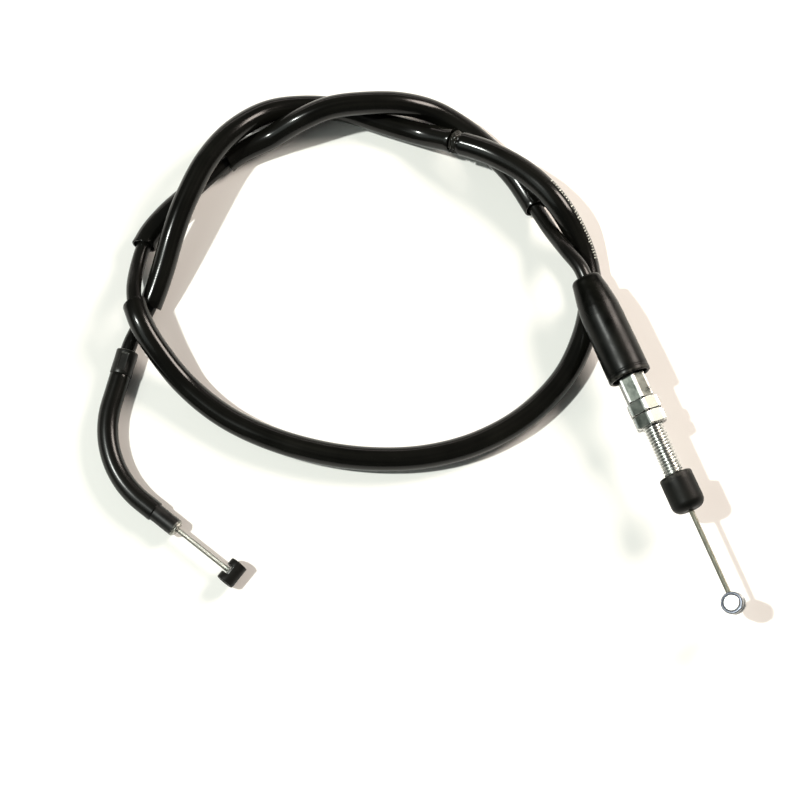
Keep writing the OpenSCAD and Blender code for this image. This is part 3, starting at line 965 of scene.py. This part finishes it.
def make_lever_wire():
    steel = strands("lever_wire_steel", (0.03, 0.03, 0.024), (0.25, 0.25, 0.205))
    strand_wire("lever_wire", adjuster_line, ADJUSTER_ZERO + 20 * MM, ADJUSTER_ZERO + 95.6 * MM,
                WIRE_RADIUS, 0.5 * MM, WIRE_LAY, steel, "lever_wire", "lever_wire_end")


def nipple_zinc():
    """Cast zinc alloy: a pale stained boss on each end, and painted shade in the groove and over the rim
    of the upper end.
    """
    p = Paint("nipple_zinc")
    place = p.object_place()
    cloud = p.noise(place, 420, 5, 0.6)
    cast = p.noise(place, 1500, 3)
    colour = p.mix(p.ramp(cloud, 0.3, 0.7), (0.12, 0.13, 0.14), (0.34, 0.355, 0.35))
    stain = p.ramp(p.noise(place, 900, 3), 0.48, 0.62)
    disc = p.mix(stain, (0.95, 0.95, 0.92), (0.6, 0.61, 0.58))
    colour = p.mix(p.times(p.mask("face"), 0.95), colour, disc)
    # painted shade: the groove and rim of the upper end are darkened to near black
    colour = p.mix(p.times(p.mask("dark"), 0.85), colour, (0.03, 0.034, 0.05))
    rough = p.ramp(cloud, 0.3, 0.7, 0.22, 0.42)
    rough = p.plus(rough, p.times(p.mask("face"), 0.2))
    p.bump(cast, 0.00006, 0.3)
    return p.done(colour, rough, Metallic=0.9)


def make_nipple():
    """A barrel across the wire, tilted, with a waist for the wire and a flash line along it."""
    centre = adjuster_at(NIPPLE_DISTANCE)
    side = heading(ADJUSTER_ANGLE + math.pi / 2)
    axis = math.cos(NIPPLE_TILT) * UP - math.sin(NIPPLE_TILT) * side
    first = heading(ADJUSTER_ANGLE)
    second = np.cross(axis, first)
    shape = Shape()
    upper = [(4.74, 0.0), (4.76, 2.6), (4.72, 2.85), (4.46, 3.05), (4.4, 3.2), (4.46, 3.4),
             (4.5, 3.85), (4.38, 4.05), (4.1, 4.18), (3.2, 4.2), (1.45, 4.2), (1.25, 4.12),
             (1.05, 3.72), (0.6, 3.7)]
    lower = [(-z, r) for z, r in upper[::-1]]
    profile = np.array(upper + lower) * MM
    profile = rounded(profile, [0] + [0.06 * MM] * (len(profile) - 2) + [0], 3)
    sides = 72
    angle = np.arange(sides) * 2 * math.pi / sides
    draw = np.random.default_rng(9)
    z = np.repeat(profile[:, :1], sides, axis=1)
    r = np.repeat(profile[:, 1:], sides, axis=1)
    flash = 0.32 * MM * np.exp(-((angle - math.radians(38) + math.pi) % (2 * math.pi) - math.pi)
                               ** 2 / 0.02)
    high = np.clip((z - 3.2 * MM) / (0.6 * MM), 0, 1) * np.clip(r / (3.9 * MM), 0, 1) ** 8
    r = r + flash[None, :] * high
    r = r + 0.02 * MM * draw.normal(0, 1, r.shape) * (r > 3.4 * MM)
    points = (centre + z[..., None] * axis + (r * np.cos(angle))[..., None] * first
              + (r * np.sin(angle))[..., None] * second)
    face = np.where((np.abs(z) > 4.6 * MM) & (r < 3 * MM), 1.0, 0.0)
    # painted shade mask, on the upper end's groove and rim only
    groove = np.where((r > 2.95 * MM) & (z > 4.2 * MM), 1.0, 0.0)
    shape.grid(points, face=face, dark=groove)
    return piece("lever_end_nipple", shape, nipple_zinc(), "lever_wire",
                 ["lever_nipple"], sharp=50)


def make_adjuster_end():
    plate = zinc("zinc_plate", (0.05, 0.056, 0.05), (0.115, 0.123, 0.11), 0.3)
    make_bolt(plate)
    make_nut("inner_nut_piece", "inner_lock_nut", -6, INNER_NUT_START, "inner_nut", plate)
    make_nut("outer_nut_piece", "outer_lock_nut", -8, OUTER_NUT_START, "outer_nut", plate)
    make_boot()
    make_cap()
    make_lever_wire()
    make_nipple()


# ---------------------------------------------------------------- clutch arm end

def make_elbow():
    steel = painted("pipe_black", (0.003, 0.003, 0.0027), (0.008, 0.0078, 0.0064), 0.36)
    pipe = hollow_tube(elbow_line, 0, MOUTH, PIPE_RADIUS, PIPE_BORE, 1.2 * MM, 40, 0.18 * MM,
                       bare=lambda along: np.clip((along - MOUTH + 0.55 * MM) / (0.5 * MM), 0, 1))
    piece("guide_pipe", pipe, steel, "casing", ["elbow_pipe"], sharp=50)
    bumps = wave(51, 8, 0.06 * MM, 20 * MM)
    skin = vinyl("cover_black", (0.002, 0.002, 0.0017), (0.007, 0.0069, 0.0054), 0.24)
    cover = hollow_tube(elbow_line, COLLAR_GRIP + 0.05 * MM, MOUTH - COVER_STOP, COVER_RADIUS,
                        3.6 * MM, 1.1 * MM, 40, 0.16 * MM, uneven(bumps))
    piece("pipe_cover", cover, skin, "casing", ["elbow_cover"], sharp=50)


def make_collar():
    """A crimped collar: one flat window pressed into its top, and a rolled upper lip."""
    line = Line([collar_at(collar_top - 2 * MM), collar_at(collar_bottom + 2 * MM)])
    end = COLLAR_LENGTH
    outer, inner = 4.35 * MM, 3.0 * MM
    window = (1.5 * MM, 8.5 * MM)
    flat, reach, wall = outer - 0.35 * MM, 1.55 * MM, 0.05 * MM
    rows = [(0.4 * MM, inner), (0.05 * MM, inner + 0.25 * MM), (0, inner + 0.5 * MM),
            (0, outer - 0.3 * MM), (0.08 * MM, outer - 0.1 * MM), (0.28 * MM, outer)]
    rows += [(s, outer) for s in np.linspace(0.7 * MM, window[0] - wall, 3)]
    first_in = len(rows)
    rows += [(s, outer) for s in np.linspace(window[0] + wall, window[1] - wall, 14)]
    last_in = len(rows)
    pipe_hole = PIPE_RADIUS + 0.03 * MM
    rows += [(window[1] + wall, outer), (end - 0.3 * MM, outer),
             (end - 0.08 * MM, outer - 0.1 * MM), (end, outer - 0.3 * MM), (end, pipe_hole),
             (end - 3.9 * MM, pipe_hole), (end - 4.0 * MM, inner)]
    profile = np.array(rows)
    edge = math.asin(reach / outer)
    soft = 0.02
    inside = np.linspace(-edge + soft, edge - soft, 9)
    around = np.linspace(edge + soft, 2 * math.pi - edge - soft, 46)
    angle = np.concatenate([inside, [edge], around, [2 * math.pi - edge]]) + math.pi / 2
    lowered = np.concatenate([np.ones(9), [0], np.zeros(46), [0]])
    off = np.concatenate([inside, np.zeros(48)])
    along = np.repeat(profile[:, :1], len(angle), axis=1)
    radius = np.repeat(profile[:, 1:], len(angle), axis=1)
    depth = flat / np.cos(off)
    pressed = np.zeros(radius.shape)
    pressed[first_in:last_in, :] = lowered[None, :]
    radius = np.where(pressed > 0, np.minimum(depth[None, :], radius), radius)
    angles = np.repeat(angle[None, :], len(profile), axis=0)
    points = line.place(2 * MM + along, angles, radius)
    shape = Shape()
    bare = np.zeros(radius.shape)
    bare[0:5, :] = 0.9
    bare[first_in - 1:first_in + 1, :] = np.maximum(bare[first_in - 1:first_in + 1, :],
                                                    0.35 * lowered[None, :])
    shape.grid(points, close_rows=True, bare=bare)
    steel = painted("collar_black", (0.004, 0.004, 0.0034), (0.012, 0.0118, 0.0095), 0.34)
    piece("crimped_collar", shape, steel, "casing", ["elbow_collar"], sharp=35)


def make_bush():
    shape = Shape()
    profile = rounded(np.array([(-6, 1.2), (-6, 2.7), (0, 2.72), (0.02, 3.0), (0.6, 3.0),
                                (0.6, 1.2)]) * MM, [0, 0.1 * MM, 0.02 * MM, 0.02 * MM, 0.2 * MM, 0])
    turned(shape, arm_line, ARM_ZERO, profile, 48, close=True)
    steel = zinc("bush_steel", (0.3, 0.3, 0.27), (0.5, 0.5, 0.46), 0.36, 0.6)
    piece("pipe_bush", shape, steel, "casing", ["pipe_end_bush"], sharp=45)


def refined(node, width):
    """A copy of a CAD node's mesh with its flat faces joined and its edges rounded."""
    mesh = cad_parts[node].data.copy()
    work = bmesh.new()
    work.from_mesh(mesh)
    bmesh.ops.remove_doubles(work, verts=work.verts, dist=1e-6)
    bmesh.ops.dissolve_limit(work, angle_limit=math.radians(1.0), verts=work.verts,
                             edges=work.edges)
    sharp = [e for e in work.edges if len(e.link_faces) == 2
             and e.calc_face_angle(0) > math.radians(28)]
    bmesh.ops.bevel(work, geom=sharp, offset=width, offset_type="OFFSET", segments=2,
                    profile=0.5, affect="EDGES", clamp_overlap=True)
    bmesh.ops.recalc_face_normals(work, faces=work.faces)
    work.to_mesh(mesh)
    work.free()
    mesh.shade_smooth()
    mesh.set_sharp_from_angle(angle=math.radians(40))
    return mesh


def make_arm_end():
    steel = strands("arm_wire_steel", (0.07, 0.07, 0.062), (0.46, 0.47, 0.43))
    strand_wire("arm_wire", arm_line, ARM_ZERO - 12 * MM, ARM_ZERO + 27.6 * MM, WIRE_RADIUS,
                0.5 * MM, WIRE_LAY, steel, "arm_wire", "arm_wire_end")
    button = zinc("button_zinc", (0.5, 0.51, 0.5), (0.75, 0.76, 0.74), 0.26, 0.5)
    piece("wire_button", refined("arm_wire_button", 0.12 * MM), button, "arm_wire",
          ["arm_wire_button"])
    black = moulded("barrel_black", (0.003, 0.003, 0.0028), (0.01, 0.0098, 0.0085), 0.38, 0.00004)
    piece("slotted_barrel", refined("arm_barrel", 0.1 * MM), black, "swivel_barrel",
          ["arm_barrel"])


# ---------------------------------------------------------------- putting it together

def make_floor():
    mesh = bpy.data.meshes.new("floor")
    corners = [(x * FLOOR_HALF, y * FLOOR_HALF, 0) for x, y in ((-1, -1), (1, -1), (1, 1), (-1, 1))]
    mesh.from_pydata(corners, [], [(0, 1, 2, 3)])
    mesh.materials.append(floor_paint())
    floor = bpy.data.objects.new("floor", mesh)
    scene.collection.objects.link(floor)


make_camera()
make_cord()
make_lights()
make_floor()
make_adjuster_end()
make_elbow()
make_collar()
make_bush()
make_arm_end()
